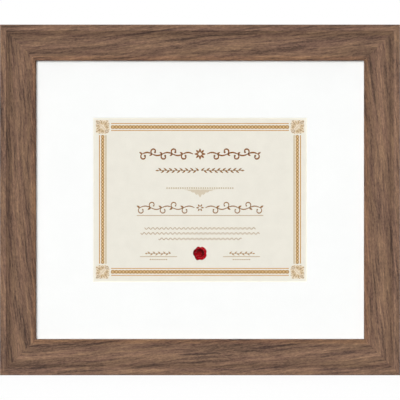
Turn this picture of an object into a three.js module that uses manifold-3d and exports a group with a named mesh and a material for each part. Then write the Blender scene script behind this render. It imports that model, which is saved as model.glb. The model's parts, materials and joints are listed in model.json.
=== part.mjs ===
// Wall picture frame: a mitred wood moulding that holds a glazed and matted certificate, with turn
// buttons that keep the backing board in and two ring hangers on the back.
//
// Millimetres, +Z up. The viewer stands on the -Y side. The wall is the plane y = 0, and the origin
// lies on it, straight behind the centre of the picture.

import * as THREE from "three";
import { mergeVertices } from "three/addons/utils/BufferGeometryUtils.js";
import Module from "manifold-3d";

// Certificate, a landscape letter sheet, with its wax seal
const CERTIFICATE_WIDTH = 279.4;
const CERTIFICATE_HEIGHT = 215.9;
const CERTIFICATE_THICKNESS = 0.3;
const SEAL_RADIUS = 9;
const SEAL_THICKNESS = 0.9;
const SEAL_RIM = 3.4;
const SEAL_STAMP_DEPTH = 0.4;
const SEAL_EDGE_ROUND = 0.3;
const SEAL_ABOVE_EDGE = 39.65;

// How unevenly the wax ran: the direction of each dip in the seal's edge, how deep it is and how far it
// spreads to each side, in degrees. A dip of negative depth is a bulge.
const SEAL_DIPS = [
  { direction: 86, depth: 1.5, spread: 10 },
  { direction: -1, depth: 1.2, spread: 10 },
  { direction: -92, depth: 0.8, spread: 12 },
  { direction: -115, depth: -0.6, spread: 14 },
  { direction: -150, depth: 0.9, spread: 13 },
  { direction: 134, depth: 1, spread: 15 },
];

// Sheets that make up the picture package
const MAT_OVERLAP = 3.175;
const MAT_BORDER = 76.2;
const MAT_THICKNESS = 0.8;
const MAT_BEVEL_ANGLE = Math.PI / 4;
const GLAZING_THICKNESS = 2;
const MOUNT_BOARD_THICKNESS = 2.2;
const BACKING_THICKNESS = 3;
const SHEET_GAP = 0.1;

// Paper corners that hold the certificate on the mount board, out of sight under the mat
const CORNER_HIDDEN = 1;
const CORNER_PAPER = 0.25;
const CORNER_FOLD = 0.8;
const CORNER_CLEARANCE = 0.3;

// Moulding: u runs outwards from the sight edge, v runs forwards from the back
const MOULDING_WIDTH = 46;
const RABBET_WIDTH = 4.775;
const PACKAGE_CLEARANCE = 1.6;
const LIP_THICKNESS = 6;
const LIP_RADIUS = 1.6;
const LIP_WIDTH = 6.4;
const LIP_HOLLOW = 0.5;
const CROWN_FROM_SIGHT = 25;
const FACE_RISE = 1.5;
const COVE_RISE = 2.5;
const BEAD_WIDTH = 8;
const BEAD_STEP = 1.2;
const BEAD_RADIUS = 1.3;
const BEAD_INNER_RADIUS = 0.4;
const BACK_CHAMFER = 0.8;
const MITRE_GAP = 0.2;

// V-shaped nails that pull the mitres together, two at each corner
const NAIL_WING = 6;
const NAIL_THICKNESS = 0.8;
const NAIL_LENGTH = 10;
const NAIL_SUNK = 0.4;
const NAIL_FROM_RABBET = 12.5;
const NAIL_FROM_OUTSIDE = 12.5;

// Pan-head wood screws
const SCREW_SHANK_RADIUS = 1.6;
const SCREW_HEAD_RADIUS = 3.4;
const SCREW_HEAD_HEIGHT = 2.1;
const SCREW_RIM_HEIGHT = 0.7;
const SCREW_BITE = 10.5;
const SCREW_POINT = 3.5;

// Turn buttons
const BUTTON_LENGTH = 17;
const BUTTON_PIVOT_RADIUS = 6.5;
const BUTTON_TIP_RADIUS = 4.5;
const BUTTON_THICKNESS = 1;
const BUTTON_RIB_WIDTH = 3;
const BUTTON_RIB_HEIGHT = 0.6;
const BUTTON_RIB_GAP = 1;
const BUTTON_FROM_RABBET = 7.5;
const BUTTON_FROM_CORNER = 70;

// Ring hangers: a folded strap with a D-shaped wire ring, which hangs down over the strap
const STRAP_WIDTH = 11;
const STRAP_THICKNESS = 0.9;
const STRAP_SLIT = 0.3;
const STRAP_CLOSES_BELOW = 7.2;
const STRAP_END = 5.5;
const RING_WIRE_RADIUS = 1.2;
const RING_CORNER = 3;
const RING_SIDE_GAP = 0.5;
const RING_HEIGHT = 16;
const RING_HEAD_GAP = 1;
const HANGER_SCREW_SPACING = 10;
const HANGER_FROM_OUTSIDE = 18;
const HANGER_CLEARANCE = 4;

// Rubber bumpers that keep the lower edge off the wall
const BUMPER_RADIUS = 5.5;
const BUMPER_ROUND = 1.5;
const BUMPER_PROUD = 0.6;
const BUMPER_FROM_OUTSIDE = 60;

// Clearances between pieces that touch, and between pieces that move on each other
const CONTACT_GAP = 0.1;
const RUNNING_GAP = 0.3;
const CUT_RUNOUT = 1;

// How far the curves of the moulding's face hold to their ends, as a share of each curve
const CURVE_HOLD = 0.4;
const COVE_FOOT_ACROSS = 0.25;
const COVE_FOOT_HEIGHT = 0.3;

// Facets: sides of a full round, and steps along a curve. An arc takes twice as many steps.
const ROUND_STEPS = 16;
const PROFILE_STEPS = 8;
const PLATE_STEPS = 6;
const SMALL_STEPS = 2;
const WIRE_SIDES = 8;
const RING_STEPS = 44;
const SEAL_STEPS = 72;

// Sizes that follow from the picture
const WINDOW_WIDTH = CERTIFICATE_WIDTH - 2 * MAT_OVERLAP;
const WINDOW_HEIGHT = CERTIFICATE_HEIGHT - 2 * MAT_OVERLAP;
const PACKAGE_WIDTH = WINDOW_WIDTH + 2 * MAT_BORDER;
const PACKAGE_HEIGHT = WINDOW_HEIGHT + 2 * MAT_BORDER;
const LIP_OVERLAP = RABBET_WIDTH - PACKAGE_CLEARANCE;
const SIGHT_WIDTH = PACKAGE_WIDTH - 2 * LIP_OVERLAP;
const SIGHT_HEIGHT = PACKAGE_HEIGHT - 2 * LIP_OVERLAP;
const CORNER_REACH = CORNER_FOLD + CORNER_CLEARANCE;
const CORNER_LEG = 2 * (CORNER_REACH + MAT_OVERLAP) - CORNER_HIDDEN;
const SEAL_STAMP_RADIUS = SEAL_RADIUS - SEAL_RIM;

// Heights above the back of the moulding, on the wall side
const FOLD_RADIUS = RING_WIRE_RADIUS + RUNNING_GAP;
const RING_PIVOT = CONTACT_GAP + STRAP_THICKNESS + FOLD_RADIUS;
const FOLD_TOP = RING_PIVOT + FOLD_RADIUS + STRAP_THICKNESS;
const STRAP_TOP = CONTACT_GAP + 2 * STRAP_THICKNESS + STRAP_SLIT;
const RING_HALF_WIDTH = STRAP_WIDTH / 2 + RING_SIDE_GAP + RING_CORNER;
const RING_SHOULDER = RING_HEIGHT - RING_HALF_WIDTH;
const RING_ON_STRAP = RING_SHOULDER + Math.sqrt(RING_HALF_WIDTH ** 2 - (STRAP_WIDTH / 2) ** 2);
const RING_LIFT = STRAP_TOP + RUNNING_GAP + RING_WIRE_RADIUS - RING_PIVOT;
const RING_LEAN = Math.asin(RING_LIFT / RING_ON_STRAP);
const BUTTON_SEAT = RUNNING_GAP;
const BUTTON_TOP = BUTTON_SEAT + BUTTON_THICKNESS;
const BUMPER_HEIGHT = FOLD_TOP + BUMPER_PROUD;
const BACK_PLANE = -BUMPER_HEIGHT;

// Rear face of each sheet, stacked from the backing board towards the viewer
const BACKING_REAR = BACK_PLANE;
const MOUNT_BOARD_REAR = BACKING_REAR - BACKING_THICKNESS - SHEET_GAP;
const CERTIFICATE_REAR = MOUNT_BOARD_REAR - MOUNT_BOARD_THICKNESS - SHEET_GAP;
const CORNER_PAPER_REAR = CERTIFICATE_REAR - CERTIFICATE_THICKNESS - SHEET_GAP;
const MAT_REAR = CORNER_PAPER_REAR - CORNER_PAPER - SHEET_GAP;
const GLAZING_REAR = MAT_REAR - MAT_THICKNESS - SHEET_GAP;
const RABBET_DEPTH = BACK_PLANE - (GLAZING_REAR - GLAZING_THICKNESS - SHEET_GAP);

// Places on the back of the moulding, measured outwards from the sight edge
const BUTTON_U = RABBET_WIDTH + BUTTON_FROM_RABBET;
const HANGER_U = MOULDING_WIDTH - HANGER_FROM_OUTSIDE;
const BUMPER_U = (RABBET_WIDTH + MOULDING_WIDTH) / 2;
const NAIL_PLACES = {
  inner: RABBET_WIDTH + NAIL_FROM_RABBET,
  outer: MOULDING_WIDTH - NAIL_FROM_OUTSIDE,
};
const BUTTON_SWEEP = BUTTON_LENGTH + BUTTON_TIP_RADIUS;
const RING_REACH = RING_HEIGHT + RING_WIRE_RADIUS;
const HANGER_HEIGHT =
  SIGHT_HEIGHT / 2 - BUTTON_FROM_CORNER - BUTTON_SWEEP - RING_REACH - HANGER_CLEARANCE;
const FIRST_SCREW_DROP = RING_REACH + RING_HEAD_GAP + SCREW_HEAD_RADIUS;
const HANGER_SCREW_DROPS = {
  upper: FIRST_SCREW_DROP,
  lower: FIRST_SCREW_DROP + HANGER_SCREW_SPACING,
};
const STRAP_LENGTH = HANGER_SCREW_DROPS.lower + STRAP_END;

const paint = (color, roughness, metalness = 0, opacity = 1) =>
  new THREE.MeshStandardMaterial({
    color,
    roughness,
    metalness,
    opacity,
    transparent: opacity < 1,
  });
const MATERIALS = {
  walnut: paint("#7a6050", 0.55),
  glass: paint("#f4faf8", 0.05, 0, 0.12),
  matBoard: paint("#fafaf8", 0.9),
  paper: paint("#ece8dc", 0.8),
  wax: paint("#a80f22", 0.35),
  hardboard: paint("#7d5f45", 0.8),
  steel: paint("#b9bcc0", 0.35, 1),
  rubber: paint("#2b2b2c", 0.9),
};

const wasm = await Module();
wasm.setup();

// A closed geometry as a solid that can be joined and cut
function solidOf(geometry) {
  const bare = geometry.clone();
  bare.deleteAttribute("normal");
  bare.deleteAttribute("uv");
  const welded = mergeVertices(bare);
  return new wasm.Manifold(
    new wasm.Mesh({
      numProp: 3,
      vertProperties: welded.attributes.position.array,
      triVerts: new Uint32Array(welded.index.array),
    }),
  );
}

function geometryOf(solid) {
  const mesh = solid.getMesh();
  const geometry = new THREE.BufferGeometry();
  geometry.setAttribute("position", new THREE.BufferAttribute(mesh.vertProperties, 3));
  geometry.setIndex(new THREE.BufferAttribute(mesh.triVerts, 1));
  return geometry;
}

function cutFrom(geometry, cutters) {
  const cut = cutters.reduce((rest, cutter) => rest.subtract(solidOf(cutter)), solidOf(geometry));
  return geometryOf(cut);
}

function meshOf(name, geometry, material) {
  geometry.computeVertexNormals();
  const mesh = new THREE.Mesh(geometry, material);
  mesh.name = name;
  return mesh;
}

// A shape drawn in x and z, as a plate from y = 0 forwards to y = -thickness
function plate(shape, thickness, options = {}) {
  const settings = { depth: thickness, bevelEnabled: false, curveSegments: PLATE_STEPS };
  return new THREE.ExtrudeGeometry(shape, { ...settings, ...options }).rotateX(Math.PI / 2);
}

function rectangle(width, height) {
  const shape = new THREE.Shape();
  shape.moveTo(-width / 2, -height / 2);
  shape.lineTo(width / 2, -height / 2);
  shape.lineTo(width / 2, height / 2);
  shape.lineTo(-width / 2, height / 2);
  return shape;
}

// A round drill along y, from just behind y = 0 forwards to y = -depth
function drill(radius, depth) {
  const length = depth + CUT_RUNOUT;
  const bit = new THREE.CylinderGeometry(radius, radius, length, ROUND_STEPS);
  return bit.translate(0, CUT_RUNOUT - length / 2, 0);
}

// Cross-section of the moulding, drawn with u across and v forwards. It runs up the outer side, over
// the bead, down the cove and across the face to the sight edge, then back through the rabbet.
function mouldingProfile() {
  const lipTop = RABBET_DEPTH + LIP_THICKNESS;
  const crown = lipTop + FACE_RISE;
  const beadFoot = crown + COVE_RISE;
  const beadTop = beadFoot + BEAD_STEP;
  const beadInside = MOULDING_WIDTH - BEAD_WIDTH;
  const innerRound = Math.min(BEAD_INNER_RADIUS, BEAD_STEP);
  const coveSpan = beadInside - CROWN_FROM_SIGHT;
  const faceSpan = CROWN_FROM_SIGHT - LIP_WIDTH;
  const lipSpan = LIP_WIDTH - LIP_RADIUS;
  const hollow = lipTop - LIP_HOLLOW;

  const profile = new THREE.Shape();
  profile.moveTo(MOULDING_WIDTH - BACK_CHAMFER, 0);
  profile.lineTo(MOULDING_WIDTH, BACK_CHAMFER);
  profile.lineTo(MOULDING_WIDTH, beadTop - BEAD_RADIUS);
  profile.absarc(MOULDING_WIDTH - BEAD_RADIUS, beadTop - BEAD_RADIUS, BEAD_RADIUS, 0, Math.PI / 2);
  profile.lineTo(beadInside + innerRound, beadTop);
  profile.absarc(beadInside + innerRound, beadTop - innerRound, innerRound, Math.PI / 2, Math.PI);
  profile.lineTo(beadInside, beadFoot);
  profile.bezierCurveTo(
    beadInside - coveSpan * COVE_FOOT_ACROSS,
    crown + COVE_RISE * COVE_FOOT_HEIGHT,
    CROWN_FROM_SIGHT + coveSpan * CURVE_HOLD,
    crown,
    CROWN_FROM_SIGHT,
    crown,
  );
  profile.bezierCurveTo(
    CROWN_FROM_SIGHT - faceSpan * CURVE_HOLD,
    crown,
    LIP_WIDTH + faceSpan * CURVE_HOLD,
    hollow,
    LIP_WIDTH,
    hollow,
  );
  profile.bezierCurveTo(
    LIP_WIDTH - lipSpan * CURVE_HOLD,
    hollow,
    LIP_RADIUS + lipSpan * CURVE_HOLD,
    lipTop,
    LIP_RADIUS,
    lipTop,
  );
  profile.absarc(LIP_RADIUS, lipTop - LIP_RADIUS, LIP_RADIUS, Math.PI / 2, Math.PI);
  profile.lineTo(0, RABBET_DEPTH);
  profile.lineTo(RABBET_WIDTH, RABBET_DEPTH);
  profile.lineTo(RABBET_WIDTH, 0);
  return profile;
}

// V-nail outline: two wings from the apex, along -x and -z, grown all round by a clearance
function nailOutline(clearance = 0) {
  const out = NAIL_THICKNESS / 2 + clearance;
  const end = -NAIL_WING - clearance;
  const shape = new THREE.Shape();
  shape.moveTo(out, out);
  shape.lineTo(end, out);
  shape.lineTo(end, -out);
  shape.lineTo(-out, -out);
  shape.lineTo(-out, end);
  shape.lineTo(out, end);
  return shape;
}

// A rail in the place of the top one: the profile swept along x, with both ends cut to 45 degrees,
// slots for the nails and pilot holes for the screws
function railGeometry(side) {
  const sweep = new THREE.ExtrudeGeometry(mouldingProfile(), {
    depth: 1,
    bevelEnabled: false,
    curveSegments: PROFILE_STEPS,
  });
  const points = sweep.attributes.position;
  for (let i = 0; i < points.count; i += 1) {
    const u = points.getX(i);
    const end = points.getZ(i) * 2 - 1;
    const along = end * (side.halfLength + u - MITRE_GAP * Math.SQRT1_2);
    points.setXYZ(i, along, BACK_PLANE - points.getY(i), side.halfAcross + u);
  }

  const slotDepth = NAIL_SUNK + NAIL_LENGTH + RUNNING_GAP;
  const slots = Object.values(NAIL_PLACES).flatMap((u) =>
    [0, -Math.PI / 2].map((turn) => {
      const x = (turn === 0 ? 1 : -1) * (side.halfLength + u);
      return plate(nailOutline(RUNNING_GAP), slotDepth + CUT_RUNOUT)
        .rotateY(turn)
        .translate(x, BACK_PLANE + CUT_RUNOUT, side.halfAcross + u);
    }),
  );
  const holeRadius = SCREW_SHANK_RADIUS + RUNNING_GAP;
  const pilots = screwPlaces(side).map(({ x, u }) =>
    drill(holeRadius, SCREW_BITE + RUNNING_GAP).translate(x, BACK_PLANE, side.halfAcross + u),
  );
  return cutFrom(sweep, [...slots, ...pilots]);
}

// A screw whose head seats at y = 0 and whose shank runs forwards
function screwGeometry(shankLength) {
  const domeRise = SCREW_HEAD_HEIGHT - SCREW_RIM_HEIGHT;
  const domeRadius = (SCREW_HEAD_RADIUS ** 2 + domeRise ** 2) / (2 * domeRise);
  const domeCentre = SCREW_HEAD_HEIGHT - domeRadius;
  const domeHalfAngle = Math.asin(SCREW_HEAD_RADIUS / domeRadius);
  const profile = new THREE.Path();
  profile.moveTo(0, -shankLength);
  profile.lineTo(SCREW_SHANK_RADIUS, -shankLength + SCREW_POINT);
  profile.lineTo(SCREW_SHANK_RADIUS, 0);
  profile.lineTo(SCREW_HEAD_RADIUS, 0);
  profile.lineTo(SCREW_HEAD_RADIUS, SCREW_RIM_HEIGHT);
  profile.absarc(0, domeCentre, domeRadius, Math.PI / 2 - domeHalfAngle, Math.PI / 2);
  const points = profile.getPoints(SMALL_STEPS);
  points[points.length - 1].x = 0;
  return new THREE.LatheGeometry(points, ROUND_STEPS);
}

// A turn button about its pivot at the origin, pointing along -z, with its seat at y = 0
function buttonGeometry() {
  const lean = Math.asin((BUTTON_PIVOT_RADIUS - BUTTON_TIP_RADIUS) / BUTTON_LENGTH);
  const outline = new THREE.Shape();
  outline.absarc(0, 0, BUTTON_PIVOT_RADIUS, -lean, Math.PI + lean);
  outline.absarc(0, -BUTTON_LENGTH, BUTTON_TIP_RADIUS, Math.PI + lean, 2 * Math.PI - lean);
  const hole = new THREE.Path();
  hole.absarc(0, 0, SCREW_SHANK_RADIUS + RUNNING_GAP, 0, 2 * Math.PI, true);
  outline.holes.push(hole);
  const blade = plate(outline, BUTTON_THICKNESS).translate(0, BUTTON_THICKNESS, 0);

  const ribRadius = BUTTON_RIB_WIDTH / 2;
  const ribStart = -(SCREW_HEAD_RADIUS + BUTTON_RIB_GAP + ribRadius);
  const ribEnd = -BUTTON_LENGTH;
  const ribRound = BUTTON_RIB_HEIGHT / 2;
  const ribOutline = new THREE.Shape();
  ribOutline.absarc(0, ribStart, ribRadius - ribRound, 0, Math.PI);
  ribOutline.absarc(0, ribEnd, ribRadius - ribRound, Math.PI, 2 * Math.PI);
  const rib = plate(ribOutline, BUTTON_THICKNESS / 2, {
    bevelEnabled: true,
    bevelSize: ribRound,
    bevelThickness: BUTTON_RIB_HEIGHT,
    bevelSegments: 2,
    curveSegments: SMALL_STEPS,
  }).translate(0, BUTTON_THICKNESS, 0);
  const belowSeat = plate(rectangle(4 * BUTTON_SWEEP, 4 * BUTTON_SWEEP), BUTTON_THICKNESS);
  const pressedRib = solidOf(rib).subtract(solidOf(belowSeat.translate(0, BUTTON_THICKNESS / 2, 0)));
  return geometryOf(solidOf(blade).add(pressedRib));
}

// The strap's side view, drawn with y across and z up about the ring's pivot: one strip that runs up
// the back, round the ring and down again, with its two leaves a slit apart
function strapGeometry() {
  const inside = -RING_PIVOT + CONTACT_GAP;
  const leafIn = STRAP_TOP - RING_PIVOT - STRAP_THICKNESS;
  const leafOut = STRAP_TOP - RING_PIVOT;
  const foldOuter = FOLD_RADIUS + STRAP_THICKNESS;
  const closed = -STRAP_CLOSES_BELOW;
  const half = closed / 2;
  const side = new THREE.Shape();
  side.moveTo(inside, -STRAP_LENGTH);
  side.lineTo(inside + STRAP_THICKNESS, -STRAP_LENGTH);
  side.lineTo(-FOLD_RADIUS, 0);
  side.absarc(0, 0, FOLD_RADIUS, Math.PI, 0, true);
  side.bezierCurveTo(FOLD_RADIUS, half, leafIn, half, leafIn, closed);
  side.lineTo(leafIn, -STRAP_LENGTH);
  side.lineTo(leafOut, -STRAP_LENGTH);
  side.lineTo(leafOut, closed);
  side.bezierCurveTo(leafOut, half, foldOuter, half, foldOuter, 0);
  side.absarc(0, 0, foldOuter, 0, Math.PI, false);
  const strip = new THREE.ExtrudeGeometry(side, {
    depth: STRAP_WIDTH,
    bevelEnabled: false,
    curveSegments: PROFILE_STEPS,
  });
  strip.translate(0, 0, -STRAP_WIDTH / 2);
  strip.applyMatrix4(new THREE.Matrix4().makeBasis(
    new THREE.Vector3(0, 1, 0),
    new THREE.Vector3(0, 0, 1),
    new THREE.Vector3(1, 0, 0),
  ));

  // The blank that the strip is stamped from: wider than the strip down to the upper screw, then its
  // width, with a round end
  const blank = new THREE.Shape();
  blank.moveTo(STRAP_WIDTH, 2 * foldOuter);
  blank.lineTo(-STRAP_WIDTH, 2 * foldOuter);
  blank.lineTo(-STRAP_WIDTH, -FIRST_SCREW_DROP);
  blank.lineTo(-STRAP_WIDTH / 2, -FIRST_SCREW_DROP);
  blank.absarc(0, -STRAP_LENGTH + STRAP_WIDTH / 2, STRAP_WIDTH / 2, Math.PI, 2 * Math.PI);
  blank.lineTo(STRAP_WIDTH / 2, -FIRST_SCREW_DROP);
  blank.lineTo(STRAP_WIDTH, -FIRST_SCREW_DROP);
  const thickness = 2 * FOLD_TOP + 2 * CUT_RUNOUT;
  const rounded = solidOf(strip).intersect(
    solidOf(plate(blank, thickness).translate(0, thickness / 2, 0)),
  );
  const holes = Object.values(HANGER_SCREW_DROPS).map((drop) =>
    drill(SCREW_SHANK_RADIUS + RUNNING_GAP, thickness).translate(0, thickness / 2, -drop),
  );
  return cutFrom(geometryOf(rounded), holes);
}

// The centre line of the ring's wire, drawn in x and z about the pivot: a straight bar that lies in the
// strap's fold, two tight bends and a round crown
class RingLine extends THREE.Curve {
  constructor() {
    super();
    const bend = RING_HALF_WIDTH - RING_CORNER;
    this.path = new THREE.Path();
    this.path.moveTo(-bend, 0);
    this.path.lineTo(bend, 0);
    this.path.absarc(bend, RING_CORNER, RING_CORNER, -Math.PI / 2, 0);
    this.path.absarc(0, RING_SHOULDER, RING_HALF_WIDTH, 0, Math.PI);
    this.path.absarc(-bend, RING_CORNER, RING_CORNER, Math.PI, 1.5 * Math.PI);
  }

  getPoint(t) {
    const { x, y } = this.path.getPoint(t);
    return new THREE.Vector3(x, 0, y);
  }
}

function bumperGeometry() {
  const profile = new THREE.Path();
  profile.moveTo(0, CONTACT_GAP);
  profile.lineTo(BUMPER_RADIUS, CONTACT_GAP);
  profile.lineTo(BUMPER_RADIUS, BUMPER_HEIGHT - BUMPER_ROUND);
  profile.absarc(
    BUMPER_RADIUS - BUMPER_ROUND,
    BUMPER_HEIGHT - BUMPER_ROUND,
    BUMPER_ROUND,
    0,
    Math.PI / 2,
  );
  profile.lineTo(0, BUMPER_HEIGHT);
  return new THREE.LatheGeometry(profile.getPoints(SMALL_STEPS), ROUND_STEPS);
}

// The window mat: a board whose opening widens towards the viewer, so that its bevel shows
function windowMat() {
  const flare = MAT_THICKNESS * Math.tan(MAT_BEVEL_ANGLE);
  const board = plate(rectangle(PACKAGE_WIDTH, PACKAGE_HEIGHT), MAT_THICKNESS);
  const cutter = plate(rectangle(WINDOW_WIDTH, WINDOW_HEIGHT), MAT_THICKNESS);
  const points = cutter.attributes.position;
  for (let i = 0; i < points.count; i += 1) {
    const rear = points.getY(i) > -MAT_THICKNESS / 2;
    const reach = rear ? CUT_RUNOUT : -MAT_THICKNESS - CUT_RUNOUT;
    const widen = (-reach / MAT_THICKNESS) * flare;
    const x = points.getX(i) + Math.sign(points.getX(i)) * widen;
    const z = points.getZ(i) + Math.sign(points.getZ(i)) * widen;
    points.setXYZ(i, x, reach, z);
  }
  const mesh = meshOf("window_mat", cutFrom(board, [cutter]), MATERIALS.matBoard);
  mesh.position.y = MAT_REAR;
  return mesh;
}

function sheet(name, width, height, thickness, rear, material) {
  const mesh = meshOf(name, plate(rectangle(width, height), thickness), material);
  mesh.position.y = rear;
  return mesh;
}

// A pocket that holds the top right corner of the certificate: a paper triangle over the front with
// two folded edges that stand on the mount board
function cornerGeometry() {
  const triangle = new THREE.Shape();
  triangle.moveTo(CORNER_REACH, CORNER_REACH);
  triangle.lineTo(CORNER_REACH - CORNER_LEG, CORNER_REACH);
  triangle.lineTo(CORNER_REACH, CORNER_REACH - CORNER_LEG);
  const blank = plate(triangle, CERTIFICATE_REAR - CORNER_PAPER_REAR + CORNER_PAPER);
  const pocketDepth = CERTIFICATE_REAR - CORNER_PAPER_REAR + CUT_RUNOUT;
  const pocket = plate(rectangle(2 * CORNER_LEG, 2 * CORNER_LEG), pocketDepth);
  const middle = CORNER_CLEARANCE - CORNER_LEG;
  return cutFrom(blank, [pocket.translate(middle, CUT_RUNOUT, middle)]);
}

// How far the seal's edge lies from its centre, in a direction given in degrees
function sealReach(direction) {
  return SEAL_DIPS.reduce((reach, dip) => {
    const off = THREE.MathUtils.euclideanModulo(direction - dip.direction + 180, 360) - 180;
    return reach - dip.depth * Math.exp(-((off / dip.spread) ** 2));
  }, SEAL_RADIUS);
}

// The wax seal: an uneven puddle with a round stamp pressed into it
function sealGeometry() {
  const outline = new THREE.Shape();
  for (let i = 0; i < SEAL_STEPS; i += 1) {
    const direction = (360 * i) / SEAL_STEPS;
    const radius = sealReach(direction) - SEAL_EDGE_ROUND;
    const angle = THREE.MathUtils.degToRad(direction);
    const [x, z] = [radius * Math.cos(angle), radius * Math.sin(angle)];
    if (i === 0) outline.moveTo(x, z);
    else outline.lineTo(x, z);
  }
  const puddle = plate(outline, SEAL_THICKNESS - 2 * SEAL_EDGE_ROUND, {
    bevelEnabled: true,
    bevelSize: SEAL_EDGE_ROUND,
    bevelThickness: SEAL_EDGE_ROUND,
    bevelSegments: 2,
  }).translate(0, -SEAL_EDGE_ROUND, 0);
  const stamp = drill(SEAL_STAMP_RADIUS, SEAL_STAMP_DEPTH);
  return cutFrom(puddle, [stamp.rotateX(Math.PI).translate(0, -SEAL_THICKNESS, 0)]);
}

// The four sides, each built as the top one and turned about y. up is the way along the rail that
// points up once the side is turned, on the two sides that carry a hanger.
const SIDES = [
  { name: "top", turn: 0, halfLength: SIGHT_WIDTH / 2, halfAcross: SIGHT_HEIGHT / 2 },
  { name: "right", turn: Math.PI / 2, halfLength: SIGHT_HEIGHT / 2, halfAcross: SIGHT_WIDTH / 2, up: -1 },
  { name: "bottom", turn: Math.PI, halfLength: SIGHT_WIDTH / 2, halfAcross: SIGHT_HEIGHT / 2 },
  { name: "left", turn: -Math.PI / 2, halfLength: SIGHT_HEIGHT / 2, halfAcross: SIGHT_WIDTH / 2, up: 1 },
];

function turnButton(side, number, x) {
  const fitting = new THREE.Group();
  fitting.position.set(x, BACK_PLANE, side.halfAcross + BUTTON_U);
  const button = meshOf(`turn_button_${side.name}_${number}`, buttonGeometry(), MATERIALS.steel);
  button.position.y = BUTTON_SEAT;
  const headSeat = BUTTON_TOP + RUNNING_GAP;
  const screw = meshOf(
    `button_screw_${side.name}_${number}`,
    screwGeometry(headSeat + SCREW_BITE),
    MATERIALS.steel,
  );
  screw.position.y = headSeat;
  fitting.add(button, screw);
  return fitting;
}

function hanger(side) {
  const fitting = new THREE.Group();
  fitting.position.set(side.up * HANGER_HEIGHT, BACK_PLANE, side.halfAcross + HANGER_U);
  fitting.rotation.y = -side.turn;
  const strap = meshOf(`hanger_strap_${side.name}`, strapGeometry(), MATERIALS.steel);
  strap.position.y = RING_PIVOT;
  const wire = new THREE.TubeGeometry(new RingLine(), RING_STEPS, RING_WIRE_RADIUS, WIRE_SIDES, true);
  const ring = meshOf(`hanger_ring_${side.name}`, wire, MATERIALS.steel);
  ring.position.y = RING_PIVOT;
  ring.rotation.x = Math.PI + RING_LEAN;
  fitting.add(strap, ring);
  const headSeat = STRAP_TOP + CONTACT_GAP;
  for (const [place, drop] of Object.entries(HANGER_SCREW_DROPS)) {
    const screw = meshOf(
      `hanger_screw_${side.name}_${place}`,
      screwGeometry(headSeat + SCREW_BITE),
      MATERIALS.steel,
    );
    screw.position.set(0, headSeat, -drop);
    fitting.add(screw);
  }
  return fitting;
}

function bumper(side, name, x) {
  const mesh = meshOf(`bumper_${name}`, bumperGeometry(), MATERIALS.rubber);
  mesh.position.set(x, BACK_PLANE, side.halfAcross + BUMPER_U);
  return mesh;
}

// Where screws go into a side's rail: x along it and u outwards from the sight edge
function screwPlaces(side) {
  const buttonX = side.halfLength - BUTTON_FROM_CORNER;
  const hangerDrops = side.up ? Object.values(HANGER_SCREW_DROPS) : [];
  return [
    ...[-buttonX, buttonX].map((x) => ({ x, u: BUTTON_U })),
    ...hangerDrops.map((drop) => ({ x: side.up * (HANGER_HEIGHT - drop), u: HANGER_U })),
  ];
}

// One side of the frame: its rail, its two turn buttons, and its hanger or bumpers
function frameSide(side) {
  const group = new THREE.Group();
  group.rotation.y = side.turn;
  const buttonX = side.halfLength - BUTTON_FROM_CORNER;
  group.add(meshOf(`${side.name}_rail`, railGeometry(side), MATERIALS.walnut));
  group.add(turnButton(side, 1, -buttonX), turnButton(side, 2, buttonX));
  if (side.up) group.add(hanger(side));
  if (side.name === "bottom") {
    const bumperX = side.halfLength + MOULDING_WIDTH - BUMPER_FROM_OUTSIDE;
    group.add(bumper(side, "right", -bumperX), bumper(side, "left", bumperX));
  }
  return group;
}

// The four corners, each built as the top right one and turned about y
const CORNERS = [
  { name: "top_right", turn: 0 },
  { name: "bottom_right", turn: Math.PI / 2 },
  { name: "bottom_left", turn: Math.PI },
  { name: "top_left", turn: -Math.PI / 2 },
];

function cornerPieces(corner) {
  const right = corner.name.endsWith("right") ? 1 : -1;
  const top = corner.name.startsWith("top") ? 1 : -1;
  const pieces = Object.entries(NAIL_PLACES).map(([place, u]) => {
    const nail = meshOf(`v_nail_${corner.name}_${place}`, plate(nailOutline(), NAIL_LENGTH), MATERIALS.steel);
    nail.position.set(right * (SIGHT_WIDTH / 2 + u), BACK_PLANE - NAIL_SUNK, top * (SIGHT_HEIGHT / 2 + u));
    return nail;
  });
  const pocket = meshOf(`mounting_corner_${corner.name}`, cornerGeometry(), MATERIALS.paper);
  pocket.position.set((right * CERTIFICATE_WIDTH) / 2, CERTIFICATE_REAR, (top * CERTIFICATE_HEIGHT) / 2);
  for (const piece of [...pieces, pocket]) piece.rotation.y = corner.turn;
  return [...pieces, pocket];
}

function waxSeal() {
  const seal = meshOf("wax_seal", sealGeometry(), MATERIALS.wax);
  const front = CERTIFICATE_REAR - CERTIFICATE_THICKNESS;
  seal.position.set(0, front - CONTACT_GAP, SEAL_ABOVE_EDGE - CERTIFICATE_HEIGHT / 2);
  return seal;
}

const frame = new THREE.Group();
frame.name = "picture_frame";
frame.add(...SIDES.map(frameSide));
frame.add(...CORNERS.flatMap(cornerPieces));
frame.add(
  sheet("glazing", PACKAGE_WIDTH, PACKAGE_HEIGHT, GLAZING_THICKNESS, GLAZING_REAR, MATERIALS.glass),
  windowMat(),
  sheet(
    "certificate",
    CERTIFICATE_WIDTH,
    CERTIFICATE_HEIGHT,
    CERTIFICATE_THICKNESS,
    CERTIFICATE_REAR,
    MATERIALS.paper,
  ),
  waxSeal(),
  sheet(
    "mount_board",
    PACKAGE_WIDTH,
    PACKAGE_HEIGHT,
    MOUNT_BOARD_THICKNESS,
    MOUNT_BOARD_REAR,
    MATERIALS.matBoard,
  ),
  sheet(
    "backing_board",
    PACKAGE_WIDTH,
    PACKAGE_HEIGHT,
    BACKING_THICKNESS,
    BACKING_REAR,
    MATERIALS.hardboard,
  ),
);

export default frame;
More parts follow.
